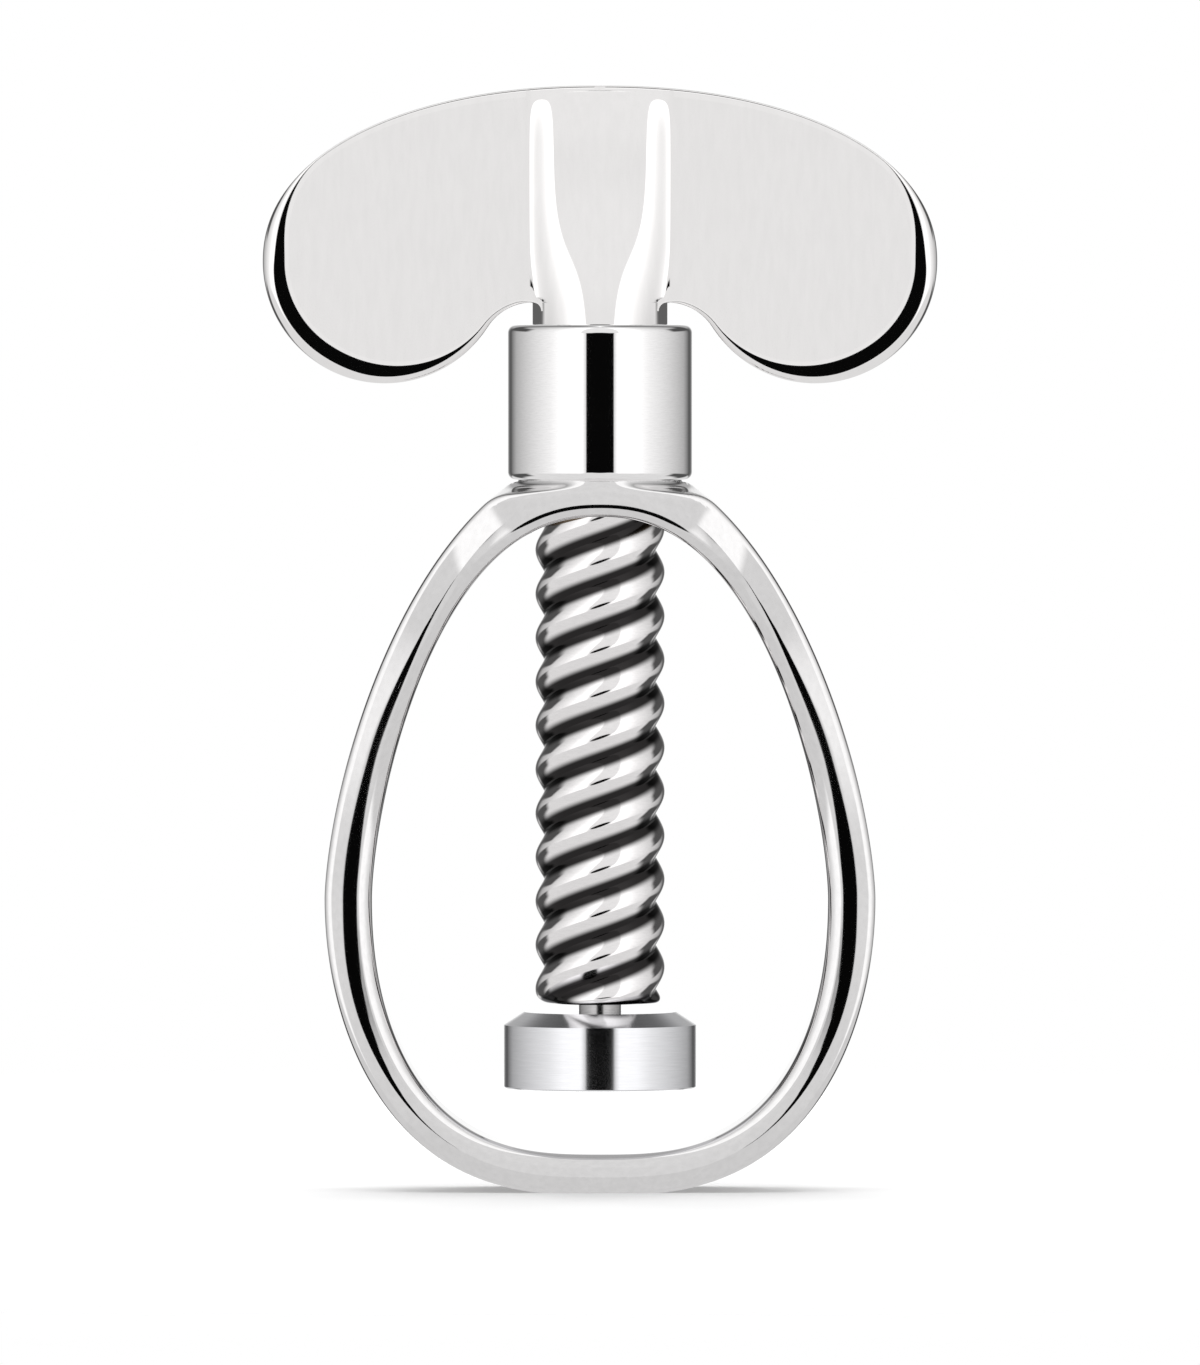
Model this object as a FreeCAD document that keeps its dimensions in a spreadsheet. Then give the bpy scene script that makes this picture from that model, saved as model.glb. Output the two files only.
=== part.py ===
import FreeCAD, Part
import math
import os
import Sketcher
from FreeCAD import Vector

# Screw nutcracker: an egg-shaped frame, a collar with a threaded bush, a three-start spindle with a
# wing handle, and a presser disc on a swivel. Millimetres, +Z up, origin under the foot on the axis.

doc = FreeCAD.newDocument("screw_nutcracker")


# ---------------------------------------------------------------- dimensions

DIMENSIONS = {
    # frame, seen from the front
    "widest_level": 44.0,
    "frame_half_width": 41.2,
    "frame_rise": 66.8,
    "frame_drop": 44.4,
    "window_half_width": 34.1,
    "window_rise": 57.1,
    "window_drop": 38.3,
    # frame, front to back
    "side_depth": 22.0,
    "crown_depth": 29.6,
    "facet_angle": 8.5,
    "frame_rounding": 1.1,
    # crown and collar
    "crown_top": 106.5,
    "shoulder_level": 102.6,
    "shoulder_radius": 17.7,
    "collar_radius": 13.8,
    "collar_top": 129.75,
    "collar_rounding": 1.2,
    "collar_spigot_radius": 12.3,
    "collar_spigot_bottom": 104.0,
    "collar_mouth_radius": 10.18,
    # bush inside the collar
    "bush_radius": 11.5,
    "bush_bottom": 102.3,
    "bush_top": 124.0,
    "ledge_radius": 10.2,
    "thread_clearance": 0.15,
    "bush_key_bottom": 107.0,
    "key_pin_radius": 1.0,
    # spindle
    "thread_starts": 3,
    "thread_lead": 19.75,
    "crest_radius": 9.69,
    "root_radius": 8.31,
    "crest_level": 92.7,
    "spindle_bottom": 28.0,
    "spindle_rounding": 1.2,
    "spindle_shank_radius": 5.5,
    "spindle_shank_top": 140.0,
    "tapped_top": 42.0,
    # wing handle
    "neck_radius": 10.1,
    "neck_bottom": 124.1,
    "neck_top": 133.1,
    "wing_half_width": 50.5,
    "wing_top": 165.6,
    "lobe_level": 139.3,
    "lobe_radius": 18.3,
    "wing_edge_half_thickness": 1.3,
    "column_half_width": 10.9,
    "rim_rounding": 3.0,
    "blend_rounding": 1.5,
    "top_rounding": 0.7,
    "shoulder_point": 35.0,
    "handle_key_length": 10.0,
    # swivel and presser
    "swivel_radius": 3.15,
    "swivel_thread_radius": 2.5,
    "swivel_head_radius": 6.0,
    "swivel_head_bottom": 19.4,
    "swivel_head_top": 21.9,
    "socket_radius": 2.3,
    "socket_depth": 1.4,
    "disc_radius": 14.4,
    "disc_bottom": 15.3,
    "disc_top": 26.7,
    "bevel_width": 3.0,
    "bevel_height": 1.95,
    "disc_bore_radius": 3.2,
    "disc_recess_radius": 7.5,
    "disc_web_bottom": 22.0,
    "plate_radius": 11.0,
    "plate_top": 17.8,
    "washer_radius": 6.0,
    "washer_hole_radius": 1.5,
    "washer_bottom": 17.85,
    "washer_top": 19.35,
}

sheet = doc.addObject("Spreadsheet::Sheet", "Dimensions")
for row, (alias, value) in enumerate(DIMENSIONS.items(), start=1):
    sheet.set(f"A{row}", alias)
    sheet.set(f"B{row}", str(value))
    sheet.setAlias(f"B{row}", alias)
doc.recompute()


def size(alias):
    """A driving dimension, read back from the sheet."""
    return float(sheet.get(alias))


def mirrored(shape, normal):
    return shape.mirror(Vector(0, 0, 0), normal)


def cylinder(radius, bottom, top):
    return Part.makeCylinder(radius, top - bottom, Vector(0, 0, bottom))


def add_shape(label, shape):
    """A sub-part whose shape comes from Part functions."""
    feature = doc.addObject("Part::Feature", label)
    feature.Label = label
    feature.Shape = shape
    feature.Placement = FreeCAD.Placement()
    return feature


# ---------------------------------------------------------------- frame

# A closed outline is two half superellipses that meet at the widest level.
FRAME_OUTLINE = {
    "half_width": size("frame_half_width"),
    "rise": size("frame_rise"),
    "drop": size("frame_drop"),
    "upper_exponents": (2.0, 1.55),
    "lower_exponents": (2.7, 2.0),
}
WINDOW_OUTLINE = {
    "half_width": size("window_half_width"),
    "rise": size("window_rise"),
    "drop": size("window_drop"),
    "upper_exponents": (2.3, 1.55),
    "lower_exponents": (2.9, 2.15),
}
FOCUS_LEVEL = 48.0
SECTION_STEP = 10


def outline_excess(outline, x, z):
    """Negative inside the outline, positive outside."""
    above = z - size("widest_level")
    height = outline["rise"] if above > 0 else outline["drop"]
    power_x, power_z = outline["upper_exponents"] if above > 0 else outline["lower_exponents"]
    return (abs(x) / outline["half_width"]) ** power_x + (abs(above) / height) ** power_z - 1


def ray_length(outline, angle):
    """Distance from the focus to the outline along a ray at this angle above +X."""
    near = 0.0
    far = 90.0
    for _ in range(60):
        middle = (near + far) / 2
        x = middle * math.cos(angle)
        z = FOCUS_LEVEL + middle * math.sin(angle)
        if outline_excess(outline, x, z) < 0:
            near = middle
        else:
            far = middle
    return near


def ring_depth(level):
    """Front-to-back depth: constant up to the waist, then growing towards the crown."""
    share = min(max((level - 60) / 42, 0), 1)
    smooth = share * share * (3 - 2 * share)
    return size("side_depth") + (size("crown_depth") - size("side_depth")) * smooth


def ring_section(angle):
    """One cross-section of the ring: two shallow facets front and back, with rounded corners."""
    inner = ray_length(WINDOW_OUTLINE, angle)
    outer = ray_length(FRAME_OUTLINE, angle)
    middle = (inner + outer) / 2
    slope = math.radians(size("facet_angle"))
    rounding = size("frame_rounding")
    ridge = ring_depth(FOCUS_LEVEL + middle * math.sin(angle)) / 2

    def point(along, depth):
        return Vector(along * math.cos(angle), depth, FOCUS_LEVEL + along * math.sin(angle))

    def corner(side, face):
        """Facet end, arc middle and side end of the corner at side (1 outer) and face (1 back)."""
        edge = outer if side > 0 else inner
        centre = edge - side * rounding
        facet_along = centre + side * rounding * math.sin(slope)
        facet_depth = ridge - abs(facet_along - middle) * math.tan(slope)
        centre_depth = facet_depth - rounding * math.cos(slope)
        half_turn = (math.pi / 2 - slope) / 2
        arc_along = centre + side * rounding * math.cos(half_turn)
        arc_depth = centre_depth + rounding * math.sin(half_turn)
        return (
            point(facet_along, face * facet_depth),
            point(arc_along, face * arc_depth),
            point(edge, face * centre_depth),
        )

    back_ridge = point(middle, ridge)
    front_ridge = point(middle, -ridge)
    outer_back = corner(1, 1)
    outer_front = corner(1, -1)
    inner_back = corner(-1, 1)
    inner_front = corner(-1, -1)
    edges = [
        Part.makeLine(back_ridge, outer_back[0]),
        Part.Arc(*outer_back).toShape(),
        Part.makeLine(outer_back[2], outer_front[2]),
        Part.Arc(*reversed(outer_front)).toShape(),
        Part.makeLine(outer_front[0], front_ridge),
        Part.makeLine(front_ridge, inner_front[0]),
        Part.Arc(*inner_front).toShape(),
        Part.makeLine(inner_front[2], inner_back[2]),
        Part.Arc(*reversed(inner_back)).toShape(),
        Part.makeLine(inner_back[0], back_ridge),
    ]
    return Part.Wire(edges)


def make_frame():
    sections = []
    for degrees in range(-90, 91, SECTION_STEP):
        sections.append(ring_section(math.radians(degrees)))
    right_half = Part.makeLoft(sections, True, False)
    left_half = mirrored(right_half, Vector(1, 0, 0))
    shoulder = Part.makeCone(
        size("shoulder_radius"),
        size("collar_radius") + 0.1,
        size("crown_top") - size("shoulder_level"),
        Vector(0, 0, size("shoulder_level")),
    )
    shoulder_depth = size("crown_depth") - 0.8
    trim = Part.makeBox(60, shoulder_depth, 20, Vector(-30, -shoulder_depth / 2, 95))
    ring = right_half.fuse([left_half, shoulder.common(trim)])
    above_seat = cylinder(40, size("crown_top"), 140)
    below_floor = Part.makeBox(100, 60, 10, Vector(-50, -30, -10))
    spigot_seat = cylinder(size("collar_spigot_radius"), size("collar_spigot_bottom"), 110)
    bush_seat = cylinder(size("bush_radius"), size("bush_bottom"), 110)
    ledge_hole = cylinder(size("ledge_radius"), 95, 110)
    ring = ring.cut([above_seat, below_floor, spigot_seat, bush_seat, ledge_hole])
    return ring.removeSplitter()


frame = add_shape("frame", make_frame())


# ---------------------------------------------------------------- turned pieces

def evaluate(expression):
    """The value of a sum or difference of sheet aliases."""
    total = 0.0
    sign = 1
    for word in expression.split():
        if word in ("+", "-"):
            sign = -1 if word == "-" else 1
        else:
            total += sign * (size(word) if word in DIMENSIONS else float(word))
    return total


def sheet_expression(expression):
    """The same sum, written for setExpression."""
    words = []
    for word in expression.split():
        words.append("Dimensions." + word if word in DIMENSIONS else word)
    return " ".join(words)


def bind_distance(sketch, kind, index, expression):
    """Hold a sketch corner at a distance from the origin that the sheet gives."""
    constraint = Sketcher.Constraint(kind, -1, 1, index, 1, evaluate(expression))
    number = sketch.addConstraint(constraint)
    sketch.setExpression(f"Constraints[{number}]", sheet_expression(expression))


def turned_body(label, profile):
    """A body revolved about Z. The profile lists (radius, level) corners as sheet expressions."""
    body = doc.addObject("PartDesign::Body", label)
    body.Label = label
    plane = next(item for item in body.Origin.OriginFeatures if item.Role == "XZ_Plane")
    sketch = body.newObject("Sketcher::SketchObject", label + "_profile")
    sketch.AttachmentSupport = [(plane, "")]
    sketch.MapMode = "FlatFace"
    corners = []
    for radius, level in profile:
        corners.append(Vector(evaluate(radius), evaluate(level), 0))
    for index, corner in enumerate(corners):
        following = corners[(index + 1) % len(corners)]
        sketch.addGeometry(Part.LineSegment(corner, following), False)
    for index in range(len(corners)):
        following = (index + 1) % len(corners)
        sketch.addConstraint(Sketcher.Constraint("Coincident", index, 2, following, 1))
    for index, (radius, level) in enumerate(profile):
        if radius == "0":
            sketch.addConstraint(Sketcher.Constraint("PointOnObject", index, 1, -2))
        else:
            bind_distance(sketch, "DistanceX", index, radius)
        bind_distance(sketch, "DistanceY", index, level)
    revolution = body.newObject("PartDesign::Revolution", label + "_turned")
    revolution.Profile = sketch
    revolution.ReferenceAxis = (sketch, ["V_Axis"])
    revolution.Angle = 360
    doc.recompute()
    return body, revolution


def ring_edges(shape, radius, level):
    """Names of the circular edges at this radius and level."""
    names = []
    for number, edge in enumerate(shape.Edges, start=1):
        curve = edge.Curve
        if not isinstance(curve, Part.Circle):
            continue
        if abs(curve.Radius - radius) < 0.01 and abs(curve.Center.z - level) < 0.01:
            names.append(f"Edge{number}")
    return names


def fillet_rings(body, base, rings, alias):
    """Round circular edges, given as (radius, level), by a sheet dimension."""
    names = []
    for radius, level in rings:
        names.extend(ring_edges(base.Shape, radius, level))
    fillet = body.newObject("PartDesign::Fillet", body.Label + "_rounding")
    fillet.Base = (base, names)
    fillet.Radius = size(alias)
    fillet.setExpression("Radius", "Dimensions." + alias)
    doc.recompute()
    return fillet


collar_profile = [
    ("collar_mouth_radius", "collar_top"),
    ("collar_radius", "collar_top"),
    ("collar_radius", "crown_top"),
    ("collar_spigot_radius", "crown_top"),
    ("collar_spigot_radius", "collar_spigot_bottom"),
    ("bush_radius", "collar_spigot_bottom"),
    ("bush_radius", "bush_top"),
    ("collar_mouth_radius", "bush_top"),
]
collar_body, collar_turned = turned_body("collar_blank", collar_profile)
fillet_rings(
    collar_body,
    collar_turned,
    [(size("collar_radius"), size("collar_top")), (size("collar_radius"), size("crown_top"))],
    "collar_rounding",
)

disc_profile = [
    ("disc_bore_radius", "disc_top"),
    ("disc_radius - bevel_width", "disc_top"),
    ("disc_radius", "disc_top - bevel_height"),
    ("disc_radius", "disc_bottom"),
    ("plate_radius", "disc_bottom"),
    ("plate_radius", "plate_top"),
    ("disc_recess_radius", "plate_top"),
    ("disc_recess_radius", "disc_web_bottom"),
    ("disc_bore_radius", "disc_web_bottom"),
]
turned_body("presser_disc", disc_profile)

plate_profile = [
    ("0", "plate_top"),
    ("plate_radius", "plate_top"),
    ("plate_radius", "disc_bottom"),
    ("0", "disc_bottom"),
]
turned_body("presser_plate", plate_profile)

washer_profile = [
    ("washer_hole_radius", "washer_top"),
    ("washer_radius", "washer_top"),
    ("washer_radius", "washer_bottom"),
    ("washer_hole_radius", "washer_bottom"),
]
turned_body("thrust_washer", washer_profile)


# ---------------------------------------------------------------- swivel screw

def add_primitive(kind, name, values):
    """A Part primitive whose sizes are sheet expressions."""
    primitive = doc.addObject(kind, name)
    for field, expression in values.items():
        primitive.setExpression(field, sheet_expression(expression))
    return primitive


def screw_cylinder(name, radius, bottom, top):
    return add_primitive(
        "Part::Cylinder",
        name,
        {"Radius": radius, "Height": f"{top} - {bottom}", "Placement.Base.z": bottom},
    )


swivel_head = screw_cylinder(
    "swivel_head", "swivel_head_radius", "swivel_head_bottom", "swivel_head_top"
)
swivel_shoulder = screw_cylinder(
    "swivel_shoulder", "swivel_radius", "swivel_head_top", "spindle_bottom"
)
swivel_shank = screw_cylinder(
    "swivel_shank", "swivel_thread_radius", "spindle_bottom", "tapped_top"
)
swivel_blank = doc.addObject("Part::MultiFuse", "swivel_blank")
swivel_blank.Shapes = [swivel_head, swivel_shoulder, swivel_shank]
swivel_socket = add_primitive(
    "Part::Prism",
    "swivel_socket",
    {
        "Circumradius": "socket_radius",
        "Height": "socket_depth",
        "Placement.Base.z": "swivel_head_bottom",
    },
)
swivel_socket.Polygon = 6
swivel_screw = doc.addObject("Part::Cut", "swivel_screw")
swivel_screw.Label = "swivel_screw"
swivel_screw.Base = swivel_blank
swivel_screw.Tool = swivel_socket
doc.recompute()


# ---------------------------------------------------------------- spindle and bush

def thread_solid(extra_radius, bottom, top):
    """A bar whose lobed cross-section turns once about Z in every lead."""
    mean = (size("crest_radius") + size("root_radius")) / 2 + extra_radius
    height = (size("crest_radius") - size("root_radius")) / 2
    starts = int(size("thread_starts"))
    turned = 2 * math.pi * (bottom - size("crest_level")) / size("thread_lead")
    points = []
    for step in range(8 * starts):
        angle = 2 * math.pi * step / (8 * starts)
        radius = mean + height * math.cos(starts * angle)
        direction = angle + turned
        points.append(Vector(radius * math.cos(direction), radius * math.sin(direction), bottom))
    section = Part.BSplineCurve()
    section.interpolate(points, PeriodicFlag=True)
    axis = Part.Wire([Part.makeLine(Vector(0, 0, bottom), Vector(0, 0, top))])
    helix = Part.makeHelix(size("thread_lead"), top - bottom, 20)
    helix.translate(Vector(0, 0, bottom))
    pipe = Part.BRepOffsetAPI.MakePipeShell(axis)
    pipe.setAuxiliarySpine(Part.Wire(helix.Edges), True, 0)
    pipe.add(Part.Wire([section.toShape()]))
    pipe.build()
    pipe.makeSolid()
    return pipe.shape()


def key_pins(ring_radius, bottom, top):
    """Two axial pins, half in the inner piece and half in the outer one."""
    pins = []
    for side in (-1, 1):
        position = Vector(side * ring_radius, 0, bottom)
        pins.append(Part.makeCylinder(size("key_pin_radius"), top - bottom, position))
    return pins


def blunt_end():
    """The space left around the spindle's rounded lower end."""
    reach = size("crest_radius") + 3
    rounding = size("spindle_rounding")
    bottom = size("spindle_bottom")
    blank = cylinder(reach, bottom - 1, bottom + rounding)
    cone = Part.makeCone(
        size("crest_radius") - rounding,
        size("crest_radius") + 0.2,
        rounding + 0.2,
        Vector(0, 0, bottom - 0.2),
    )
    return blank.cut(cone)


bush_keys = key_pins(size("bush_radius"), size("bush_key_bottom"), size("bush_top"))
handle_key_top = size("neck_bottom") + size("handle_key_length")
handle_keys = key_pins(size("spindle_shank_radius"), size("neck_bottom"), handle_key_top)

thread_bar = thread_solid(0, size("spindle_bottom"), size("neck_bottom"))
shank = cylinder(size("spindle_shank_radius"), size("neck_bottom") - 1, size("spindle_shank_top"))
tapped_hole = cylinder(
    size("swivel_thread_radius"), size("spindle_bottom") - 1, size("tapped_top")
)
spindle_shape = thread_bar.fuse(shank).cut([blunt_end(), tapped_hole] + handle_keys)
add_shape("spindle", spindle_shape)

bush_blank = cylinder(size("bush_radius"), size("bush_bottom"), size("bush_top"))
nut_space = thread_solid(size("thread_clearance"), size("bush_bottom") - 2, size("bush_top") + 2)
add_shape("thread_bush", bush_blank.cut([nut_space] + bush_keys))

for side_name, pin in zip(("left", "right"), bush_keys):
    add_shape("bush_key_" + side_name, pin)
for side_name, pin in zip(("left", "right"), handle_keys):
    add_shape("handle_key_" + side_name, pin)

# the collar is grooved for the bush's keys
add_shape("collar", collar_body.Shape.cut(bush_keys))


# ---------------------------------------------------------------- wing handle

TOP_EXPONENT = 2.15
CREST_POINTS = 5
WING_TILT_UP = 6.5
WING_TILT_IN = 2.0


def wing_outline():
    """The right-hand half of the handle's outline, as a face in the XZ plane."""
    half_width = size("wing_half_width")
    level = size("lobe_level")
    rise = size("wing_top") - level
    lobe = size("lobe_radius")
    lobe_centre = Vector(half_width - lobe, 0, level)

    def crest_point(angle):
        x = half_width * math.cos(angle) ** (2 / TOP_EXPONENT)
        z = level + rise * math.sin(angle) ** (2 / TOP_EXPONENT)
        return Vector(x, 0, z)

    def crest_direction(point):
        across = point.x ** (TOP_EXPONENT - 1) / half_width ** TOP_EXPONENT
        upward = (point.z - level) ** (TOP_EXPONENT - 1) / rise ** TOP_EXPONENT
        return Vector(upward, 0, -across).normalize()

    def crest_curve(first_angle, last_angle):
        points = []
        for step in range(CREST_POINTS):
            share = step / (CREST_POINTS - 1)
            angle = first_angle + (last_angle - first_angle) * share
            points.append(crest_point(math.radians(angle)))
        curve = Part.BSplineCurve()
        curve.interpolate(
            points,
            InitialTangent=crest_direction(points[0]),
            FinalTangent=crest_direction(points[-1]),
        )
        return curve.toShape()

    shoulder_angle = size("shoulder_point")
    top = Vector(0, 0, size("wing_top"))
    tip = Vector(half_width, 0, level)
    # the blend leaves the neck level at neck_radius and touches the lobe circle from outside
    neck = Vector(size("neck_radius"), 0, size("neck_top"))
    across = lobe_centre.x - neck.x
    below = lobe_centre.z - neck.z
    blend = (across ** 2 + below ** 2 - lobe ** 2) / (2 * (lobe - below))
    blend_centre = Vector(neck.x, 0, neck.z - blend)
    toward_blend = (blend_centre - lobe_centre).normalize()
    tangent_point = lobe_centre + toward_blend * lobe
    lobe_middle = lobe_centre + Vector(0.35, 0, -0.94).normalize() * lobe
    blend_middle_direction = (tangent_point - blend_centre + Vector(0, 0, blend)).normalize()
    blend_middle = blend_centre + blend_middle_direction * blend
    axis_low = Vector(0, 0, neck.z)
    edges = [
        crest_curve(90, shoulder_angle),
        crest_curve(shoulder_angle, 0),
        Part.Arc(tip, lobe_middle, tangent_point).toShape(),
        Part.Arc(tangent_point, blend_middle, neck).toShape(),
        Part.makeLine(neck, axis_low),
        Part.makeLine(axis_low, top),
    ]
    return Part.Face(Part.Wire(edges))


def wing_slab():
    """A wedge, thin along the top and thick at the lobes, for x from 0 outwards."""
    up = math.tan(math.radians(WING_TILT_UP))
    inward = math.tan(math.radians(WING_TILT_IN))

    def half_thickness(x, z):
        return size("wing_edge_half_thickness") + up * (size("wing_top") - z) + inward * x

    corners = [(0, 110), (60, 110), (60, 170), (0, 170)]
    front = []
    back = []
    for x, z in corners:
        front.append(Vector(x, -half_thickness(x, z), z))
        back.append(Vector(x, half_thickness(x, z), z))
    faces = [
        Part.Face(Part.makePolygon(front + front[:1])),
        Part.Face(Part.makePolygon(back + back[:1])),
    ]
    for index in range(4):
        following = (index + 1) % 4
        ring = [front[index], front[following], back[following], back[index], front[index]]
        faces.append(Part.Face(Part.makePolygon(ring)))
    return Part.Solid(Part.Shell(faces))


def column_section(level, half_width, half_depth, flank):
    """A flat-sided lens: bowed front and back, straight flanks."""
    front = Part.Arc(
        Vector(-half_width, -flank, level),
        Vector(0, -half_depth, level),
        Vector(half_width, -flank, level),
    ).toShape()
    back = Part.Arc(
        Vector(half_width, flank, level),
        Vector(0, half_depth, level),
        Vector(-half_width, flank, level),
    ).toShape()
    right = Part.makeLine(Vector(half_width, -flank, level), Vector(half_width, flank, level))
    left = Part.makeLine(Vector(-half_width, flank, level), Vector(-half_width, -flank, level))
    return Part.Wire([front, right, back, left])


def make_column(outline_prism):
    """The hub: round at the neck, flattening into the plate towards the top."""
    neck_radius = size("neck_radius")
    width = size("column_half_width")
    sections = [
        column_section(size("neck_top") - 2.5, neck_radius, neck_radius, 0.8),
        column_section(138, width, 9.1, 4.9),
        column_section(146, width, 7.0, 4.7),
        column_section(156, width, 5.4, 3.6),
        column_section(size("wing_top") + 1, width, 4.1, 2.3),
    ]
    column = Part.makeLoft(sections, True, False)
    return column.common(outline_prism)


def rim_radii(wing):
    """Rounding at each edge of the wing: small along the crest and the neck, full at the lobe."""
    small = size("top_rounding")
    full = size("rim_rounding")
    medium = size("blend_rounding")
    radii = []
    for number, edge in enumerate(wing.Edges, start=1):
        middle = edge.valueAt((edge.FirstParameter + edge.LastParameter) / 2)
        ends = [vertex.X for vertex in edge.Vertexes]
        if abs(middle.y) < 0.5 or min(ends) == max(ends):
            continue
        if middle.z > size("lobe_level") + 2:
            outermost = max(ends) > size("wing_half_width") - 0.1
            radii.append((number, full if outermost else small, small))
        elif edge.Length > 20:
            radii.append((number, medium, full))
        elif max(ends) > size("neck_radius") + 1:
            radii.append((number, small, medium))
    return radii


outline_face = wing_outline()
outline_prism = outline_face.extrude(Vector(0, 40, 0))
outline_prism.translate(Vector(0, -20, 0))
wing_blank = add_shape("wing_blank", outline_prism.common(wing_slab()))
rounded_wing = doc.addObject("Part::Fillet", "rounded_wing")
rounded_wing.Base = wing_blank
rounded_wing.Edges = rim_radii(wing_blank.Shape)
doc.recompute()
right_wing = rounded_wing.Shape
both_prisms = outline_prism.fuse(mirrored(outline_prism, Vector(1, 0, 0))).removeSplitter()
neck_cylinder = cylinder(size("neck_radius"), size("neck_bottom"), size("neck_top") + 1)
hub = make_column(both_prisms)
handle = right_wing.fuse([mirrored(right_wing, Vector(1, 0, 0)), hub, neck_cylinder])
handle_bore = cylinder(size("spindle_shank_radius"), 120, size("spindle_shank_top"))
handle = handle.cut([handle_bore] + handle_keys)
add_shape("wing_handle", handle.removeSplitter())
doc.recompute()


# ---------------------------------------------------------------- checks and export

SUB_PARTS = [
    "frame",
    "collar",
    "thread_bush",
    "bush_key_left",
    "bush_key_right",
    "spindle",
    "wing_handle",
    "handle_key_left",
    "handle_key_right",
    "swivel_screw",
    "thrust_washer",
    "presser_disc",
    "presser_plate",
]

for item in doc.Objects:
    if "Invalid" in item.State or "Error" in item.State:
        raise RuntimeError(f"{item.Label} is {item.State}")

os.makedirs("parts", exist_ok=True)
for label in SUB_PARTS:
    shape = doc.getObjectsByLabel(label)[0].Shape
    if shape.isNull() or not shape.isValid():
        raise RuntimeError(f"{label} has no valid shape")
    shape.exportStep(f"parts/{label}.step")
    print(label, len(shape.Solids), round(shape.Volume, 1))
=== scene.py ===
import math

import bpy
import numpy as np
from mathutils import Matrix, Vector


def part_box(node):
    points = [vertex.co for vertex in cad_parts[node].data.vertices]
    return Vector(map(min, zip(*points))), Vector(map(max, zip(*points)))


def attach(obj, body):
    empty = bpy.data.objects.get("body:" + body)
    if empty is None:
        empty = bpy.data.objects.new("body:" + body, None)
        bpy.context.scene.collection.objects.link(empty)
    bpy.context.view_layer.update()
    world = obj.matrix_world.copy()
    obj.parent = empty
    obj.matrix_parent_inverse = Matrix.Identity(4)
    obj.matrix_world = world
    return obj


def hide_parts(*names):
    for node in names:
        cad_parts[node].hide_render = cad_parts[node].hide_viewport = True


# Looks for a polished screw nutcracker. Lengths in the shape functions are millimetres in the CAD's
# frame (+Z up, -Y towards the viewer); meshes are written in metres.

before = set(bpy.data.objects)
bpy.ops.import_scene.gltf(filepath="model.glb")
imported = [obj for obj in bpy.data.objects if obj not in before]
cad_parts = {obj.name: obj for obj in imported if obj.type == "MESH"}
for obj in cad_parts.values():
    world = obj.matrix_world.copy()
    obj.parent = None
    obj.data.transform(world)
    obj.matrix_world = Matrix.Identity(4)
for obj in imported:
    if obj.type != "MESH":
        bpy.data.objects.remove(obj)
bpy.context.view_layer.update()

MM = 0.001


# ---------------------------------------------------------------- mesh helpers

def faces_outward(points, normals, faces):
    """The same faces, each wound so that it looks the way its corners' normals do."""
    wound = []
    for face in faces:
        corners = points[list(face)]
        area = np.cross(corners, np.roll(corners, -1, axis=0)).sum(axis=0)
        outward = area @ normals[list(face)].sum(axis=0) > 0
        wound.append(face if outward else face[::-1])
    return wound


def make_mesh(name, points, normals, faces, material, body, slot, replaced):
    """A smooth-shaded piece that rides on a CAD body and stands for a CAD node."""
    mesh = bpy.data.meshes.new(name)
    faces = faces_outward(points, normals, faces)
    mesh.from_pydata((np.asarray(points) * MM).tolist(), [], faces)
    mesh.shade_smooth()
    mesh.validate()
    mesh.normals_split_custom_set_from_vertices(np.asarray(normals).tolist())
    mesh.materials.append(material)
    piece = bpy.data.objects.new(name, mesh)
    bpy.context.scene.collection.objects.link(piece)
    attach(piece, body)
    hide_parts(replaced)
    return piece


def grid_faces(rows, columns, start=0, wrap_rows=False, wrap_columns=False):
    """Quads between neighbouring points of a grid stored row by row."""
    faces = []
    for i in range(rows if wrap_rows else rows - 1):
        for j in range(columns if wrap_columns else columns - 1):
            here = start + i * columns + j
            right = start + i * columns + (j + 1) % columns
            below = start + (i + 1) % rows * columns + j
            diagonal = start + (i + 1) % rows * columns + (j + 1) % columns
            faces.append((here, right, diagonal, below))
    return faces


def unit(vectors):
    lengths = np.linalg.norm(vectors, axis=-1, keepdims=True)
    return vectors / np.maximum(lengths, 1e-12)


def field_normals(field, points, step=0.004):
    """Outward directions of a field that grows outwards."""
    slopes = []
    for axis in range(3):
        offset = np.zeros(3)
        offset[axis] = step
        slopes.append(field(points + offset) - field(points - offset))
    return unit(np.stack(slopes, axis=-1))


def smooth_max(a, b, width):
    """The larger of two fields, with a rounded crossing about this wide."""
    gap = np.maximum(width - np.abs(a - b), 0) / width
    return np.maximum(a, b) + gap * gap * width / 4


def smooth_step(low, high, value):
    share = np.clip((value - low) / (high - low), 0, 1)
    return share * share * (3 - 2 * share)


# ---------------------------------------------------------------- turned pieces

def arc(centre, radius, first, last, count=12):
    """Points (radius, level) along an arc, angles in degrees from the +radius direction."""
    angles = np.radians(np.linspace(first, last, count))
    return np.stack([centre[0] + radius * np.cos(angles), centre[1] + radius * np.sin(angles)], -1)


def line(start, end, count=2):
    return np.linspace(start, end, count)


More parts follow.
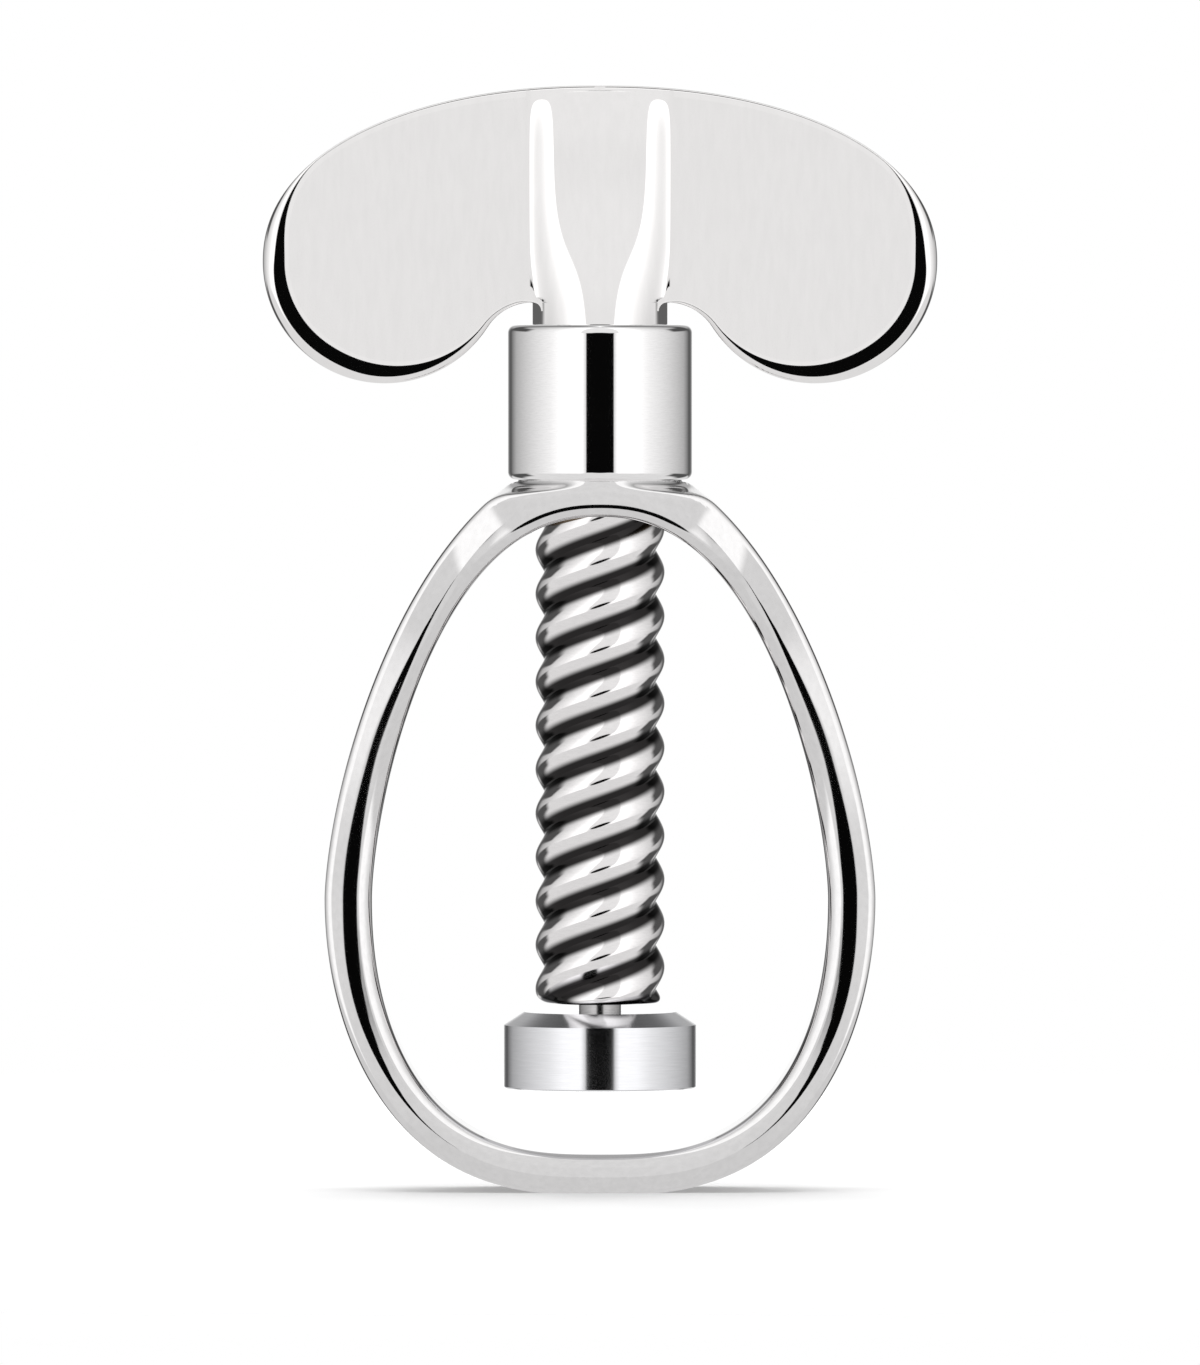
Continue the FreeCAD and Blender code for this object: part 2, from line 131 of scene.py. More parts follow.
def lathe(strips, turns=192):
    """Points, normals and faces of profile strips turned about Z. Strips meet at crisp edges."""
    points = []
    normals = []
    faces = []
    angles = np.linspace(0, 2 * math.pi, turns, endpoint=False)
    start = 0
    for strip in strips:
        strip = np.asarray(strip, float)
        along = np.gradient(strip, axis=0)
        outward = unit(np.stack([along[:, 1], -along[:, 0]], -1))
        for (radius, level), (out, up) in zip(strip, outward):
            ring = np.stack([radius * np.cos(angles), radius * np.sin(angles)], -1)
            points.append(np.column_stack([ring, np.full(turns, level)]))
            direction = np.stack([out * np.cos(angles), out * np.sin(angles)], -1)
            normals.append(np.column_stack([direction, np.full(turns, up)]))
        faces += grid_faces(len(strip), turns, start, wrap_columns=True)
        start += len(strip) * turns
    return np.concatenate(points), np.concatenate(normals), faces


# ---------------------------------------------------------------- frame

frame_low, frame_high = (np.array(corner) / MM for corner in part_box("frame"))
collar_low, collar_high = (np.array(corner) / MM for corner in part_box("collar"))
spindle_low, spindle_high = (np.array(corner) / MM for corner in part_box("spindle"))
handle_low, handle_high = (np.array(corner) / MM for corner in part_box("wing_handle"))
disc_low, disc_high = (np.array(corner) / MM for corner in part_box("presser_disc"))

FOCUS = 48.0
WIDEST = 44.0
CROWN_TOP = frame_high[2]
COLLAR_RADIUS = collar_high[0]
FACET = math.tan(math.radians(9.0))
BUSH_RADIUS = 11.5


def outline_radius(angle, half_width, rise, drop, upper, lower):
    """Distance from the focus to a two-part superellipse, along a ray at this angle above +X."""
    near = np.zeros_like(angle)
    far = np.full_like(angle, 90.0)
    for _ in range(50):
        middle = (near + far) / 2
        x = np.abs(middle * np.cos(angle))
        above = FOCUS + middle * np.sin(angle) - WIDEST
        upper_part = (x / half_width) ** upper[0] + (np.abs(above) / rise) ** upper[1]
        lower_part = (x / half_width) ** lower[0] + (np.abs(above) / drop) ** lower[1]
        inside = np.where(above > 0, upper_part, lower_part) < 1
        near = np.where(inside, middle, near)
        far = np.where(inside, far, middle)
    return near


RING_ANGLES = np.radians(np.linspace(-90, 270, 1441))
OUTER_RADII = outline_radius(RING_ANGLES, 41.2, 66.8, 44.4, (2.0, 1.55), (2.7, 2.0))
INNER_RADII = outline_radius(RING_ANGLES, 34.1, 57.1, 38.3, (2.3, 1.55), (2.9, 2.15))
MIDDLE_RADII = (OUTER_RADII + INNER_RADII) / 2
# true distance across the band, per millimetre along a ray from the focus
STRAIGHTNESS = 1 / np.hypot(1, np.gradient(MIDDLE_RADII, RING_ANGLES) / MIDDLE_RADII)


def ridge_line(degrees, band):
    """How far the ridge lies outside the middle of the band: out at the foot, in at the shoulders."""
    foot = 0.08 * smooth_step(-5, -35, degrees)
    shoulders = 0.08 * smooth_step(25, 52, degrees) - 0.05 * smooth_step(56, 78, degrees)
    return (foot - 0.03 - shoulders) * band


def ridge_softness(degrees):
    """Width of the ridge's rounding: broad on the sides, a sharp crease at the foot and the crown."""
    return 0.02 + 1.1 * smooth_step(-65, -15, degrees) * smooth_step(66, 28, degrees)


def crown_share(degrees):
    """0 on the sides, 1 over the crown, where the whole front leans back."""
    return 0.5 - 0.5 * np.cos(math.pi * np.clip((degrees - 62) / 18, 0, 1))


def ridge_depth(degrees):
    """Half the frame's thickness along the ridge: deepest at the crown."""
    sides = 11.0 + 2.0 * smooth_step(2, 66, degrees) + 1.0 * smooth_step(-45, -85, degrees)
    return sides + 1.38 * crown_share(degrees)


def frame_field(points, ridge_side=0.0):
    """Negative inside the ring, positive outside, in about millimetres."""
    x, y, z = points[..., 0], points[..., 1], points[..., 2]
    along = np.hypot(x, z - FOCUS)
    angle = np.arctan2(z - FOCUS, np.abs(x))
    outer = np.interp(angle, RING_ANGLES, OUTER_RADII)
    inner = np.interp(angle, RING_ANGLES, INNER_RADII)
    degrees = np.degrees(angle)
    band = outer - inner

    # front and back faces: two shallow facets that meet in a ridge
    across = along - (outer + inner) / 2 - ridge_line(degrees, band) + ridge_side
    across = across * np.interp(angle, RING_ANGLES, STRAIGHTNESS)
    softness = ridge_softness(degrees)
    fall = np.where(
        np.abs(across) < softness,
        across * across / (2 * softness),
        np.abs(across) - softness / 2,
    )
    fall = fall * np.where(across < 0, 1 - 2 * crown_share(degrees), 1)
    face = np.abs(y) - (ridge_depth(degrees) - FACET * fall)

    outer_wall = (along - outer) * 0.96
    inner_wall = (inner - along) * 0.96
    reach = np.hypot(x, y)
    past_collar = np.maximum(reach - COLLAR_RADIUS, 0)
    shoulder = CROWN_TOP - 0.9 * (1 - np.exp(-past_collar / 0.7)) - 0.19 * past_collar
    top = smooth_max(outer_wall, (z - shoulder) * 0.97, 1.2)
    solid = smooth_max(top, face, 1.0)
    solid = smooth_max(solid, inner_wall, 2.0)
    return np.maximum(solid, -z)


def eased(first, last, count):
    """Numbers from first to last, closer together at both ends."""
    return first + (last - first) * (0.5 - 0.5 * np.cos(np.linspace(0, math.pi, count)))


def ring_mesh(ring_count=640, half_face=22, side_count=26):
    """The ring's surface, found along rays from the middle of every cross-section."""
    angles = np.linspace(0, 2 * math.pi, ring_count, endpoint=False)
    folded = np.arctan2(np.sin(angles), np.abs(np.cos(angles)))
    outer = np.interp(folded, RING_ANGLES, OUTER_RADII)
    inner = np.interp(folded, RING_ANGLES, INNER_RADII)
    ridge_across = ridge_line(np.degrees(folded), outer - inner) + (outer - inner) / 2
    top_limit = (CROWN_TOP - FOCUS) / np.maximum(np.sin(angles), 1e-6)
    bottom_limit = FOCUS / np.maximum(-np.sin(angles), 1e-6)
    limited = np.minimum(outer, np.minimum(top_limit, bottom_limit))
    middle = (limited + inner) / 2
    half_band = (limited - inner) / 2
    depth = 12.5
    ridge = (inner + ridge_across - middle) / half_band * depth / ridge_depth(np.degrees(folded))

    # every section: up the outer wall, inwards over the back, down the inner wall, outwards in front
    side = eased(-1, 1, side_count)[:-1]
    sections = []
    for place in ridge:
        face = np.concatenate([eased(-1, place, half_face), eased(place, 1, half_face)])
        sections.append(
            np.concatenate(
                [
                    np.stack([np.ones_like(side), side], -1),
                    np.stack([face[::-1], np.ones_like(face)], -1)[:-1],
                    np.stack([-np.ones_like(side), -side], -1),
                    np.stack([face, -np.ones_like(face)], -1)[:-1],
                ]
            )
        )
    sections = np.array(sections)
    back_ridge = len(side) + half_face - 1
    front_ridge = 2 * len(side) + 2 * half_face - 1 + half_face - 1
    ridge_side = np.zeros(sections.shape[1])
    ridge_side[[back_ridge, front_ridge + 1]] = 0.1
    ridge_side[[back_ridge + 1, front_ridge]] = -0.1

    step_along = sections[:, :, 0] * half_band[:, None]
    step_depth = sections[:, :, 1] * depth
    near = np.full(step_along.shape, 0.3)
    far = np.full(step_along.shape, 1.9)

    def place_at(share):
        radius = middle[:, None] + share * step_along
        return np.stack(
            [
                radius * np.cos(angles)[:, None],
                share * step_depth,
                FOCUS + radius * np.sin(angles)[:, None],
            ],
            -1,
        )

    for _ in range(34):
        share = (near + far) / 2
        inside = frame_field(place_at(share)) < 0
        near = np.where(inside, share, near)
        far = np.where(inside, far, share)
    points = place_at(near)
    normals = field_normals(lambda at: frame_field(at, ridge_side), points)
    faces = grid_faces(ring_count, sections.shape[1], wrap_rows=True, wrap_columns=True)
    points = points.reshape(-1, 3)
    normals = normals.reshape(-1, 3)
    return bore_for_bush(points, normals, faces)


def bore_for_bush(points, normals, faces):
    """Opens the crown for the bush and lines the opening."""
    reach = np.hypot(points[:, 0], points[:, 1])
    crown = points[:, 2] > 90
    near_edge = crown & (np.abs(reach - BUSH_RADIUS) < 0.42)
    points[near_edge, :2] *= (BUSH_RADIUS / reach[near_edge])[:, None]
    opening = crown & (reach < BUSH_RADIUS + 0.01) & ~near_edge
    kept = [face for face in faces if not opening[list(face)].any()]
    wall_points, wall_normals, wall_faces = lathe([line((BUSH_RADIUS, CROWN_TOP), (BUSH_RADIUS, 101.4))])
    wall_faces = [tuple(corner + len(points) for corner in face) for face in wall_faces]
    points = np.concatenate([points, wall_points])
    normals = np.concatenate([normals, wall_normals])
    return points, normals, kept + wall_faces


# ---------------------------------------------------------------- spindle

LEAD = 19.75
STARTS = 3
CREST = spindle_high[0]
ROOT = 8.31
CREST_LEVEL = 92.7


def thread_radius(angle, level):
    """Rounded crests with narrower roots."""
    turn = STARTS * (angle - 2 * math.pi * (level - CREST_LEVEL) / LEAD)
    wave = 0.5 + 0.5 * np.cos(turn)
    return ROOT + (CREST - ROOT) * (wave + 0.004) ** 0.75


def spindle_mesh(around=180, level_step=0.3):
    bottom = spindle_low[2]
    top = handle_low[2]
    rounding = 1.3
    levels = [bottom + rounding * (1 - math.cos(a)) for a in np.linspace(0, math.pi / 2, 9)]
    levels += list(np.arange(bottom + rounding + level_step, top, level_step)) + [top]
    levels = np.array(levels)
    angles = np.linspace(0, 2 * math.pi, around, endpoint=False)

    def place(angle, level):
        depth = np.clip((bottom + rounding - level) / rounding, 0, 1)
        inset = rounding * (1 - np.sqrt(1 - depth * depth))
        radius = thread_radius(angle, level) - inset
        return np.stack([radius * np.cos(angle), radius * np.sin(angle), level], -1)

    angle, level = np.meshgrid(angles, levels)
    points = place(angle, level)
    around_step = place(angle + 1e-4, level) - place(angle - 1e-4, level)
    up_step = place(angle, level + 2e-3) - place(angle, np.maximum(level - 2e-3, bottom))
    normals = unit(np.cross(around_step, up_step))
    normals[0] = (0, 0, -1)
    faces = grid_faces(len(levels), around, wrap_columns=True)
    points = points.reshape(-1, 3)
    normals = normals.reshape(-1, 3)
    # flat end around the swivel and flat top inside the handle
    end_ring = points[:around] * [0.3, 0.3, 1.0]
    first_end = len(points)
    points = np.concatenate([points, points[:around], end_ring])
    normals = np.concatenate([normals, np.tile([0, 0, -1.0], (2 * around, 1))])
    faces += grid_faces(2, around, first_end, wrap_columns=True)
    faces.append(tuple(range(first_end + 2 * around - 1, first_end + around - 1, -1)))
    top_start = (len(levels) - 1) * around
    first_top = len(points)
    points = np.concatenate([points, points[top_start:top_start + around]])
    normals = np.concatenate([normals, np.tile([0, 0, 1.0], (around, 1))])
    faces.append(tuple(range(first_top, first_top + around)))
    return points, normals, faces


# ---------------------------------------------------------------- wing handle

WING_HALF_WIDTH = handle_high[0]
WING_TOP = handle_high[2]
LOBE_LEVEL = 139.3
LOBE_RADIUS = 18.3
LOBE_CENTRE = WING_HALF_WIDTH - LOBE_RADIUS
NECK_RADIUS = 10.1
NECK_TOP = 133.1
TOP_POWER = 2.15
BLEND_ACROSS = LOBE_CENTRE - NECK_RADIUS
BLEND_BELOW = LOBE_LEVEL - NECK_TOP
BLEND_RADIUS = (BLEND_ACROSS ** 2 + BLEND_BELOW ** 2 - LOBE_RADIUS ** 2) / (
    2 * (LOBE_RADIUS - BLEND_BELOW)
)
# where the lobe's arc passes into the hollow blend beside the neck
MEETING = LOBE_CENTRE - BLEND_ACROSS * LOBE_RADIUS / (LOBE_RADIUS + BLEND_RADIUS)


def wing_top_level(x):
    share = np.clip(np.abs(x) / WING_HALF_WIDTH, 0, 1)
    return LOBE_LEVEL + (WING_TOP - LOBE_LEVEL) * (1 - share ** TOP_POWER) ** (1 / TOP_POWER)


def wing_bottom_level(x):
    x = np.abs(x)
    lobe = LOBE_LEVEL - np.sqrt(np.maximum(LOBE_RADIUS ** 2 - (x - LOBE_CENTRE) ** 2, 0))
    blend_level = NECK_TOP - BLEND_RADIUS
    blend = blend_level + np.sqrt(np.maximum(BLEND_RADIUS ** 2 - (x - NECK_RADIUS) ** 2, 0))
    return np.where(x > MEETING, lobe, np.where(x > NECK_RADIUS, blend, NECK_TOP))


def rim_sizes(x, z):
    """Width of the rounded rim and of its flat land, round the lobe."""
    turn = np.degrees(np.arctan2(z - LOBE_LEVEL, x - LOBE_CENTRE))
    width = 0.2 + 3.1 * smooth_step(-180, -55, turn) * smooth_step(58, 0, turn)
    land = 1.8 * smooth_step(-150, -75, turn) * smooth_step(55, -30, turn)
    return width, land


def wing_face(x, z):
    """Half the wing's thickness: it grows downwards and, a little, outwards."""
    dish = 0.35 * (np.abs(x) - LOBE_CENTRE) ** 2 / WING_HALF_WIDTH ** 2
    return 1.3 + math.tan(math.radians(6.5)) * (WING_TOP - z) + 0.035 * np.abs(x) - dish


COLUMN_HALF_WIDTH = 11.3
# the round neck below this level, the flattened column above it
ROUND_NECK_TOP = 129.84


def column_middle(z):
    """Half the column's thickness along its middle: it sinks into the wings towards the top."""
    rise = np.clip((z - 146) / (WING_TOP - 0.7 - 146), 0, 1)
    swell = 2.4 / (1 + np.exp((z - 141.5) / 3.5))
    return wing_face(0, z) + swell + 2.45 * (1 - rise ** 7)


def column_face(x, z):
    """Half thickness through the column: round at the neck, flat above, flowing into the wings."""
    bend = 0.0025 + 0.108 / (1 + np.exp((z - 137.5) / 4.2))
    bulge = column_middle(z) - (1 - np.sqrt(1 - (bend * x) ** 2)) / bend
    fade = (1 - np.clip(np.abs(x) / COLUMN_HALF_WIDTH, 0, 1) ** 8) ** 4
    wing = wing_face(x, z)
    return wing + (bulge - wing) * fade


def wing_outline():
    """Points round both wings: from the middle of the top round the right lobe and back on the left."""
    turn = np.radians(np.linspace(90, 0, 130)[:-1])
    top_x = WING_HALF_WIDTH * np.cos(turn) ** (2 / TOP_POWER)
    top = np.stack([top_x, wing_top_level(top_x)], -1)
    lobe_end = math.degrees(math.acos((MEETING - LOBE_CENTRE) / LOBE_RADIUS))
    lobe = arc((LOBE_CENTRE, LOBE_LEVEL), LOBE_RADIUS, 0, -lobe_end, 150)[:-1]
    blend_x = np.linspace(MEETING, NECK_RADIUS, 40)
    blend = np.stack([blend_x, wing_bottom_level(blend_x)], -1)
    corner_radius = 1.3
    corner_level = NECK_TOP - corner_radius
    corner = arc((NECK_RADIUS, corner_level), corner_radius, 90, 180, 16)[1:]
    hidden = line((7.5, corner_level), (0, corner_level), 8)
    right = np.concatenate([top, lobe, blend, corner, hidden])
    left = right[1:-1][::-1] * [-1, 1]
    return np.concatenate([right, left])


def wings_mesh():
    """Both wings, front and back: side wall, rounded rim, flat land, then the dished face."""
    outline = wing_outline()
    x, z = outline[:, 0], outline[:, 1]
    along = unit(np.roll(outline, -1, axis=0) - np.roll(outline, 1, axis=0))
    outward = np.stack([-along[:, 1], along[:, 0]], -1)
    width, land = rim_sizes(np.abs(x), z)
    by_neck = smooth_step(12.5, 9.5, np.abs(x)) * (z < LOBE_LEVEL)
    width = width * (1 - 0.9 * by_neck)
    land = land * (1 - by_neck)
    rounding = width - land
    crease = outline - outward * width[:, None]
    height = wing_face(crease[:, 0], crease[:, 1])

    rows = []
    row_normals = []

    def add_row(inset, depth, out, front):
        place = outline - outward * inset[:, None]
        rows.append(np.stack([place[:, 0], -depth, place[:, 1]], -1))
        ahead = np.full(len(x), -front)
        row_normals.append(unit(np.stack([outward[:, 0] * out, ahead, outward[:, 1] * out], -1)))

    for share in (0, 0.5):
        add_row(np.zeros(len(x)), (height - rounding) * share, 1, 0)
    for turn in np.linspace(0, math.pi / 2, 14):
        inset = rounding * (1 - math.cos(turn))
        depth = height - rounding * (1 - math.sin(turn))
        add_row(inset, depth, math.cos(turn), math.sin(turn))
    add_row(width, height, 0, 1)

    spine = np.stack([np.clip(x, -LOBE_CENTRE, LOBE_CENTRE), np.full(len(x), LOBE_LEVEL)], -1)
    for share in np.linspace(1.0, 0.0, 24):
        place = spine + (crease - spine) * share
        across, level = place[:, 0], place[:, 1]
        rows.append(np.stack([across, -wing_face(across, level), level], -1))
        slope_x = (wing_face(across + 0.05, level) - wing_face(across - 0.05, level)) * 10
        slope_z = (wing_face(across, level + 0.05) - wing_face(across, level - 0.05)) * 10
        row_normals.append(unit(np.stack([-slope_x, -np.ones(len(x)), -slope_z], -1)))
    return front_and_back(np.array(rows), np.array(row_normals), wrap=True)


def front_and_back(front, front_normals, wrap=False):
    """A grid of front points and its mirror image behind, as one mesh."""
    grid = grid_faces(front.shape[0], front.shape[1], wrap_columns=wrap)
    half = front.shape[0] * front.shape[1]
    points = np.concatenate([front, front * [1, -1, 1]]).reshape(-1, 3)
    normals = np.concatenate([front_normals, front_normals * [1, -1, 1]]).reshape(-1, 3)
    return points, normals, grid + [tuple(corner + half for corner in face) for face in grid]


def column_mesh():
    """The column and neck between the wings, front and back, as stacked sections."""
    round_levels = line(handle_low[2], ROUND_NECK_TOP - 0.04, 6)
    neck_levels = np.concatenate([round_levels, line(ROUND_NECK_TOP + 0.02, 136, 36)])
    levels = np.concatenate([neck_levels, line(136.3, WING_TOP - 0.72, 100)])
    rows = []
    row_normals = []
    shares = np.linspace(-1, 1, 97)

    def section(share, z):
        if z < ROUND_NECK_TOP:
            x = share * NECK_RADIUS
            return x, np.sqrt(np.maximum(NECK_RADIUS ** 2 - x ** 2, 0))
        if z < NECK_TOP:
            x = share * NECK_RADIUS
            flank = np.maximum(NECK_RADIUS - np.abs(x), 0) * 3.5
            return x, np.minimum(column_face(x, z), flank)
        x = share * COLUMN_HALF_WIDTH
        sunk = 5 * smooth_step(133.8, 132.9, z) * smooth_step(8.2, 10.2, np.abs(x))
        return x, column_face(x, z) - sunk

    for z in levels:
        x, height = section(shares, z)
        _, next_height = section(shares, z + 0.02)
        slope_x = np.gradient(height, x)
        if z < ROUND_NECK_TOP:
            normal = np.stack([x, -height, np.zeros_like(x)], -1)
        else:
            same_half = (z > NECK_TOP) == (z + 0.02 > NECK_TOP)
            slope_z = (next_height - height) / 0.02 if same_half else np.zeros_like(x)
            normal = np.stack([-slope_x, -np.ones_like(x), -slope_z], -1)
        dive = 0.08 * smooth_step(0.97, 1.0, np.abs(shares)) - 0.02 if z > NECK_TOP else 0
        rows.append(np.stack([x, -(height - dive), np.full_like(x, z)], -1))
        row_normals.append(unit(normal))
    return front_and_back(np.array(rows), np.array(row_normals))


# ---------------------------------------------------------------- collar and presser disc

def collar_mesh():
    bottom = collar_low[2]
    top = collar_high[2]
    seat = CROWN_TOP
    radius = COLLAR_RADIUS
    spigot = 12.3
    mouth = 10.18
    lip = 124
    rounding = 1.2
    strips = [
        line((spigot, bottom), (spigot, seat)),
        line((spigot, seat), (radius - rounding, seat)),
        arc((radius - rounding, seat + rounding), rounding, -90, 0),
        line((radius, seat + rounding), (radius, top - rounding)),
        arc((radius - rounding, top - rounding), rounding, 0, 90),
        line((radius - rounding, top), (mouth + 0.1, top)),
        line((mouth + 0.1, top), (mouth, top - 0.1)),
        line((mouth, top - 0.1), (mouth, lip)),
        line((mouth, lip), (BUSH_RADIUS, lip)),
        line((BUSH_RADIUS, lip), (BUSH_RADIUS, bottom)),
        line((BUSH_RADIUS, bottom), (spigot, bottom)),
    ]
    return lathe(strips)


def disc_mesh():
    bottom = disc_low[2]
    top = disc_high[2]
    radius = disc_high[0]
    edge = 0.2
    bevel_width = 3.0
    bevel_height = 1.95
    bore = 3.2
    recess = 7.5
    recess_top = 22.0
    plate = 11.0
    plate_top = 17.8
    strips = [
        line((radius - edge, bottom), (radius, bottom + edge)),
        line((radius, bottom + edge), (radius, top - bevel_height)),
        line((radius, top - bevel_height), (radius - bevel_width, top), 6),
        line((radius - bevel_width, top), (bore, top), 6),
        line((bore, top), (bore, recess_top)),
        line((bore, recess_top), (recess, recess_top)),
        line((recess, recess_top), (recess, plate_top)),
        line((recess, plate_top), (plate, plate_top)),
        line((plate, plate_top), (plate, bottom)),
        line((plate, bottom), (radius - edge, bottom)),
    ]
    return lathe(strips)


# ---------------------------------------------------------------- materials

def add_node(tree, kind, **values):
    node = tree.nodes.new(kind)
    for name, value in values.items():
        setattr(node, name, value)
    return node


def coordinates(tree, scale):
    """Object coordinates, stretched to make brushing run one way."""
    source = add_node(tree, "ShaderNodeTexCoord")
    mapping = add_node(tree, "ShaderNodeMapping")
    mapping.inputs["Scale"].default_value = scale
    tree.links.new(source.outputs["Object"], mapping.inputs["Vector"])
    return mapping.outputs["Vector"]


def noise(tree, vector, scale, detail=4.0):
    node = add_node(tree, "ShaderNodeTexNoise")
    node.inputs["Scale"].default_value = scale
    node.inputs["Detail"].default_value = detail
    tree.links.new(vector, node.inputs["Vector"])
    return node.outputs["Fac"]


def spread(tree, fac, low, high):
    node = add_node(tree, "ShaderNodeMapRange")
    node.inputs["From Min"].default_value = 0.3
    node.inputs["From Max"].default_value = 0.7
    node.inputs["To Min"].default_value = low
    node.inputs["To Max"].default_value = high
    tree.links.new(fac, node.inputs["Value"])
    return node.outputs["Result"]


def metal(name, colour, roughness, brush, scratch=0.02, tint=0.03, metallic=1.0):
    """Metal with a faint uneven tone, uneven polish and fine brushing."""
    material = bpy.data.materials.new(name)
    material.use_nodes = True
    tree = material.node_tree
    shader = tree.nodes["Principled BSDF"]
    shader.inputs["Metallic"].default_value = metallic
    broad = noise(tree, coordinates(tree, (1, 1, 1)), 55)
    fine = noise(tree, coordinates(tree, brush), 900, 2.0)
    tone = add_node(tree, "ShaderNodeMix", data_type="RGBA")
    tone.inputs["A"].default_value = tuple(channel * (1 - tint) for channel in colour) + (1,)
    tone.inputs["B"].default_value = tuple(min(channel * (1 + tint), 1) for channel in colour) + (1,)
    tree.links.new(spread(tree, fine, 0, 1), tone.inputs["Factor"])
    tree.links.new(tone.outputs["Result"], shader.inputs["Base Color"])
    tree.links.new(spread(tree, broad, roughness * 0.8, roughness * 1.2), shader.inputs["Roughness"])
    bump = add_node(tree, "ShaderNodeBump")
    bump.inputs["Strength"].default_value = scratch
    bump.inputs["Distance"].default_value = 0.00002
    tree.links.new(fine, bump.inputs["Height"])
    tree.links.new(bump.outputs["Normal"], shader.inputs["Normal"])
    return material


def paint_root_shade(material, root, crest):
    """Painted shade in the thread's roots: the base colour goes near black towards the root radius and
    stays the plain metal colour on the crests.
    """
    tree = material.node_tree
    shader = tree.nodes["Principled BSDF"]
    bright = shader.inputs["Base Color"].links[0].from_socket
    source = add_node(tree, "ShaderNodeTexCoord")
    flat = add_node(tree, "ShaderNodeVectorMath", operation="MULTIPLY")
    flat.inputs[1].default_value = (1, 1, 0)
    tree.links.new(source.outputs["Object"], flat.inputs[0])
    reach = add_node(tree, "ShaderNodeVectorMath", operation="LENGTH")
    tree.links.new(flat.outputs["Vector"], reach.inputs[0])
    share = add_node(tree, "ShaderNodeMapRange", interpolation_type="SMOOTHSTEP")
    share.inputs["From Min"].default_value = root * MM
    share.inputs["From Max"].default_value = crest * MM
    tree.links.new(reach.outputs["Value"], share.inputs["Value"])
    mix = add_node(tree, "ShaderNodeMix", data_type="RGBA")
    # painted shade: the near-black base colour used in the thread's roots
    mix.inputs["A"].default_value = (0.03, 0.028, 0.028, 1)
    tree.links.new(bright, mix.inputs["B"])
    tree.links.new(share.outputs["Result"], mix.inputs["Factor"])
    tree.links.new(mix.outputs["Result"], shader.inputs["Base Color"])


frame_chrome = metal("frame_chrome", (0.80, 0.79, 0.79), 0.05, (1, 6, 1))
collar_chrome = metal("collar_chrome", (0.95, 0.94, 0.94), 0.04, (1, 1, 8))
handle_chrome = metal("handle_chrome", (0.96, 0.945, 0.94), 0.05, (1, 1, 0.2), tint=0.014)
spindle_chrome = metal("spindle_chrome", (0.93, 0.91, 0.91), 0.09, (1, 1, 4))
# painted shade in the spindle's thread roots, darkest at the root radius
paint_root_shade(spindle_chrome, ROOT + 0.35, ROOT + 0.95)
disc_chrome = metal("disc_chrome", (0.82, 0.82, 0.84), 0.12, (0.3, 0.3, 6))
bush_brass = metal("bush_brass", (0.16, 0.12, 0.08), 0.30, (1, 1, 6), 0.05, 0.06)
pin_steel = metal("pin_steel", (0.55, 0.55, 0.56), 0.25, (1, 1, 1), 0.05, 0.06)
screw_steel = metal("screw_steel", (0.50, 0.49, 0.49), 0.22, (1, 1, 6), 0.05, 0.06)
plate_steel = metal("plate_steel", (0.66, 0.66, 0.67), 0.28, (1, 5, 1), 0.06, 0.06)
washer_plastic = metal("washer_plastic", (0.72, 0.71, 0.66), 0.5, (1, 1, 1), 0.05, 0.05, 0.0)


# ---------------------------------------------------------------- object

make_mesh("frame_looks", *ring_mesh(), frame_chrome, "frame", "frame_chrome", "frame")
make_mesh("collar_looks", *collar_mesh(), collar_chrome, "frame", "collar_chrome", "collar")
make_mesh("spindle_looks", *spindle_mesh(), spindle_chrome, "spindle", "spindle_chrome", "spindle")
make_mesh("column_looks", *column_mesh(), handle_chrome, "spindle", "handle_chrome", "wing_handle")
make_mesh("wings_looks", *wings_mesh(), handle_chrome, "spindle", "handle_chrome", "wing_handle")
make_mesh("disc_looks", *disc_mesh(), disc_chrome, "presser", "disc_chrome", "presser_disc")

UNMIRRORED = ("frame_looks", "wings_looks", "column_looks")

CAD_FINISHES = {
    "thread_bush": bush_brass,
    "bush_key_left": pin_steel,
    "bush_key_right": pin_steel,
    "handle_key_left": pin_steel,
    "handle_key_right": pin_steel,
    "swivel_screw": screw_steel,
    "presser_plate": plate_steel,
    "thrust_washer": washer_plastic,
}
for node, material in CAD_FINISHES.items():
    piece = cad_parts[node]
    piece.data.materials.clear()
    piece.data.materials.append(material)


# ---------------------------------------------------------------- studio

